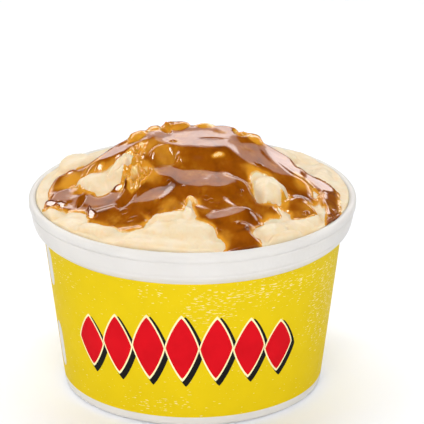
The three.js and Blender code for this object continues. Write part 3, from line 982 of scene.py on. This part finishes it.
def on_wall(tub, along, height, proud):
    """Places on the wall: millimetres round it from the front, height, and how far proud."""
    radius = wall_radius(tub, height)
    angle = along / (wall_radius(tub, TRUE_HEIGHT))
    reach = radius + proud
    return np.stack([reach * np.sin(angle), -reach * np.cos(angle), height], -1)


def wall_patch(tub, along, low, high, proud):
    """A thin closed plate of ink that follows the wall between two edges."""
    rows = [on_wall(tub, along, z, out) for out in (proud, INK_ROOT) for z in (low, high)]
    a, b, c, d = np.arange(4 * len(along)).reshape(4, -1)
    faces = [[c[0], a[0], b[0], d[0]], [a[-1], c[-1], d[-1], b[-1]]]
    for one, other in ((a, b), (d, c), (c, a), (b, d)):
        faces += np.stack([one[:-1], one[1:], other[1:], other[:-1]], -1).tolist()
    return np.concatenate(rows), np.array(faces)


def gather(patches):
    """Several sets of vertices and faces as one."""
    vertices, faces, base = [], [], 0
    for some, these in patches:
        vertices.append(some)
        faces.append(these + base)
        base += len(some)
    return np.concatenate(vertices), np.concatenate(faces)


def lozenge_patches(wall_print):
    """Centre, half width and half height of each lozenge in the band."""
    count = wall_print.lozenges
    middle = (count - 1) / 2
    pitch = wall_print.lozenge_width / MM * BAND["spacing"]
    for i in range(count):
        off = (i - middle) / max(middle, 1)
        yield (
            BAND["middle"] + (i - middle) * pitch,
            wall_print.band_height / MM - BAND["sink"] * off * off,
            wall_print.lozenge_width / MM / 2,
            wall_print.lozenge_height / MM / 2 * (1 - BAND["shrink"] * off * off),
        )


def lozenge(tub, centre, height, half_width, half_height, grow, proud, shift):
    """A lozenge with full sides, grown and shifted for keyline and shadow."""
    wide, tall = half_width + grow, half_height + grow * half_height / half_width
    across = np.sin(np.radians(np.linspace(-90, 90, 33)))
    reach = tall * np.clip(1 - np.abs(across) ** FULLNESS, 0, 1) ** (1 / FULLNESS)
    reach = np.maximum(reach, 0.02)
    z = height + shift[1]
    along = centre + shift[0] + wide * across
    return wall_patch(tub, along, z - reach, z + reach, proud)


def seam_tab(tub, low, high):
    """A strip with round ends where the seam of the wall shows no ink."""
    half_width, end, proud = 3.1, 4.0, 0.06
    across = np.sin(np.radians(np.linspace(-90, 90, 17)))
    rounding = end * (1 - np.sqrt(1 - across**2))
    along = SEAM_PLACE + half_width * across
    return wall_patch(tub, along, low + rounding, high - rounding, proud)


# ---- operators ----------------------------------------------------------


class PotatoSideOperator:
    """What the operators share: undo, and the settings of the scene."""

    bl_options = {"REGISTER", "UNDO"}

    def execute(self, context):
        self.build(context.scene.potato_side)
        return {"FINISHED"}


class AddTub(PotatoSideOperator, bpy.types.Operator):
    """Add the moulded foam tub with its lip, collar, shoulder and printed wall"""

    bl_idname = "potato_side.add_tub"
    bl_label = "Tub"

    def build(self, settings):
        tub, ink = settings.tub, settings.wall_print
        low, high = ink.foot_edge / MM, tub.wall_top_height / MM
        vertices, faces = lathe(tub_profile(tub, low), tub.segments)
        heights = vertices[:, 2]
        radii = np.hypot(vertices[:, 0], vertices[:, 1])
        outside = radii > wall_radius(tub, heights) - 0.5
        inked = outside & (heights > low - 0.01) & (heights < high + 0.01)
        printed = [all(inked[i] for i in face) for face in faces]
        yellow = ink_finish("print_yellow", ink.yellow, 0.97, ink.worn)
        materials = [foam_finish(tub), yellow]
        piece = add_piece("tub_foam_body", vertices, faces, materials, printed)
        around = WEAR_RADIUS * np.arctan2(vertices[:, 0], -vertices[:, 1])
        wear = np.zeros(len(vertices))
        for *spot, how_far in WORN.values():
            reach = ellipse_reach(around, heights, *spot, 0)
            wear = np.maximum(wear, how_far * (1 - smooth_step(0.6, 1.2, reach)))
        keep_on_points(piece, "wear", wear)
        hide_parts("tub")


class AddPrint(PotatoSideOperator, bpy.types.Operator):
    """Add the band of lozenges and the unprinted tabs at the seam"""

    bl_idname = "potato_side.add_print"
    bl_label = "Wall Print"

    def build(self, settings):
        tub, ink = settings.tub, settings.wall_print
        layers = (
            ("print_shadow", ink.black, 0.9, 0.04, (1.3, -1.3)),
            ("print_keyline", ink.cream, 0.55, 0.07, (0, 0)),
            ("print_lozenge", ink.red, 0.0, 0.10, (0, 0)),
        )
        for name, tint, grow, proud, shift in layers:
            patches = [lozenge(tub, *spot, grow, proud, shift) for spot in lozenge_patches(ink)]
            piece = add_piece(name, *gather(patches), [ink_finish(name, tint)], smooth=False)
        tabs = [seam_tab(tub, *ends) for ends in SEAM_TABS]
        piece = add_piece("print_seam", *gather(tabs), [foam_finish(tub)], smooth=False)


class AddMash(PotatoSideOperator, bpy.types.Operator):
    """Add the mashed potato that fills the tub and heaps above its lip"""

    bl_idname = "potato_side.add_mash"
    bl_label = "Mashed Potato"

    def build(self, settings):
        tub, mash = settings.tub, settings.mash
        x, y = disc_grid(mash.cells, tub.lip_inner / MM + INTO_WALL["mash"])
        fields = food_fields(x, y, mash, settings.gravy)
        top = above_food_level(x, y, fields["potato"])
        vertices = [top]
        faces = grid_quads(mash.cells).reshape(-1, 4).tolist()
        rim = grid_rim(mash.cells)
        angle = np.arctan2(top[rim, 1], top[rim, 0])
        ring, base = rim, len(top)
        wall = inner_wall(tub, MASH_GAP)
        for radius, height in wall:
            level = np.full_like(angle, height)
            vertices.append(np.stack([radius * np.cos(angle), radius * np.sin(angle), level], -1))
            lower = base + np.arange(len(rim))
            beside = np.roll(lower, -1), np.roll(ring, -1)
            faces += np.stack([ring, lower, beside[0], beside[1]], -1).tolist()
            ring, base = lower, base + len(rim)
        vertices.append(np.array([[0, 0, wall[-1][1]]]))
        faces += [[base, b, a] for a, b in zip(ring.tolist(), np.roll(ring, -1).tolist())]
        piece = add_piece("mash_heap", np.concatenate(vertices), faces, [mash_finish(mash)])
        # How deep each point lies in the creases, kept for the painted shade in the potato's
        # colour.
        hollow = np.zeros(base + 1)
        hollow[: len(top)] = fields["hollow"].ravel()
        keep_on_points(piece, "hollow", hollow)
        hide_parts("mash")


class AddGravy(PotatoSideOperator, bpy.types.Operator):
    """Add the gravy that runs over the heap down to the lip"""

    bl_idname = "potato_side.add_gravy"
    bl_label = "Gravy"

    def build(self, settings):
        tub, mash, gravy = settings.tub, settings.mash, settings.gravy
        x, y = disc_grid(mash.cells, tub.lip_inner / MM + INTO_WALL["gravy"])
        fields = food_fields(x, y, mash, gravy)
        top = above_food_level(x, y, fields["gravy"])
        bottom = above_food_level(x, y, fields["under"])
        quads = grid_quads(mash.cells)
        kept = (fields["cover"].ravel() > -EDGE_KEPT)[quads].any(axis=-1)
        close_corners(kept)
        quads = quads[kept]
        faces = quads.tolist() + (quads[:, ::-1] + len(top)).tolist()
        sides = np.concatenate([quads[:, [k, (k + 1) % 4]] for k in range(4)])
        seen = {tuple(edge) for edge in sides.tolist()}
        for a, b in sides.tolist():
            if (b, a) not in seen:
                faces.append([b, a, a + len(top), b + len(top)])
        used = np.unique(np.concatenate([np.ravel(f) for f in (quads, quads + len(top))]))
        renumber = np.full(2 * len(top), -1)
        renumber[used] = np.arange(len(used))
        faces = [renumber[face].tolist() for face in faces]
        vertices = np.concatenate([top, bottom])[used]
        piece = add_piece("gravy_pool", vertices, faces, [gravy_finish(gravy)])
        depth = np.tile(fields["depth"].ravel(), 2)[used]
        keep_on_points(piece, "depth", depth)
        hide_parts("gravy")


class AddStage(PotatoSideOperator, bpy.types.Operator):
    """Add the pale floor, the soft lights and the camera"""

    bl_idname = "potato_side.add_stage"
    bl_label = "Stage"

    def build(self, settings):
        stage = settings.stage
        self.add_floor(stage)
        self.add_sky(stage)
        for name, values in LIGHTS.items():
            self.add_light(name, *values)
        self.add_camera(stage)

    def add_floor(self, stage):
        half = 2.5  # metres
        corners = [(-half, -half, 0), (half, -half, 0), (half, half, 0), (-half, half, 0)]
        mesh = bpy.data.meshes.new("stage_floor")
        mesh.from_pydata(corners, [], [(0, 1, 2, 3)])
        mesh.materials.append(floor_finish(stage))
        floor = add_object("stage_floor", mesh)

    def add_sky(self, stage):
        world = bpy.data.worlds.new("stage_sky")
        world.use_nodes = True
        even_light = world.node_tree.nodes["Background"].inputs
        even_light["Color"].default_value = (1, 1, 1, 1)
        even_light["Strength"].default_value = stage.sky
        bpy.context.scene.world = world
        bpy.context.scene.view_settings.view_transform = "Standard"

    def add_light(self, name, place, size, power, tint, lit):
        """A soft box that faces the lip."""
        light = bpy.data.lights.new(name, "AREA")
        light.shape = "RECTANGLE"
        light.size, light.size_y = size
        light.energy = power
        light.color = tint
        lamp = add_object(name, light)
        lamp.location = place
        lamp.visible_diffuse = lit != "gloss"
        lamp.visible_glossy = lit != "all but gloss"
        aim = Vector((0, 0, TUB_HEIGHT)) - lamp.location
        lamp.rotation_euler = aim.to_track_quat("-Z", "Y").to_euler()

    def add_camera(self, stage):
        data = bpy.data.cameras.new("camera")
        data.sensor_width = 36
        data.lens = stage.lens
        data.clip_start, data.clip_end = 0.05, 20
        camera = add_object("camera", data)
        tilt, back, up = stage.elevation, stage.distance, stage.up_step
        camera.location = (
            stage.side_step,
            -back * math.cos(tilt) + up * math.sin(tilt),
            WALL_MIDDLE * MM + back * math.sin(tilt) + up * math.cos(tilt),
        )
        camera.rotation_euler = (math.pi / 2 - tilt, 0, 0)
        bpy.context.scene.camera = camera


class PotatoSidePanel(bpy.types.Panel):
    """Sizes, colours and pieces of the potato side"""

    bl_idname = "VIEW3D_PT_potato_side"
    bl_label = "Potato Side"
    bl_space_type = "VIEW_3D"
    bl_region_type = "UI"
    bl_category = "Potato Side"

    def draw(self, context):
        settings = context.scene.potato_side
        for group, operator in PANEL_ROWS:
            box = self.layout.box()
            box.operator(operator.bl_idname)
            part = getattr(settings, group)
            for name in part.bl_rna.properties.keys():
                if name not in ("rna_type", "name"):
                    box.prop(part, name)


# Each group of settings with the operator that uses it.
PANEL_ROWS = (
    ("tub", AddTub),
    ("wall_print", AddPrint),
    ("mash", AddMash),
    ("gravy", AddGravy),
    ("stage", AddStage),
)
CLASSES = (
    TubSettings,
    PrintSettings,
    MashSettings,
    GravySettings,
    StageSettings,
    PotatoSideSettings,
    *(operator for _, operator in PANEL_ROWS),
    PotatoSidePanel,
)


def register():
    for cls in CLASSES:
        bpy.utils.register_class(cls)
    bpy.types.Scene.potato_side = PointerProperty(type=PotatoSideSettings)


def unregister():
    del bpy.types.Scene.potato_side
    for cls in reversed(CLASSES):
        bpy.utils.unregister_class(cls)


def main():
    register()
    for step in ("add_tub", "add_print", "add_mash", "add_gravy", "add_stage"):
        getattr(bpy.ops.potato_side, step)()


if __name__ == "__main__":
    main()
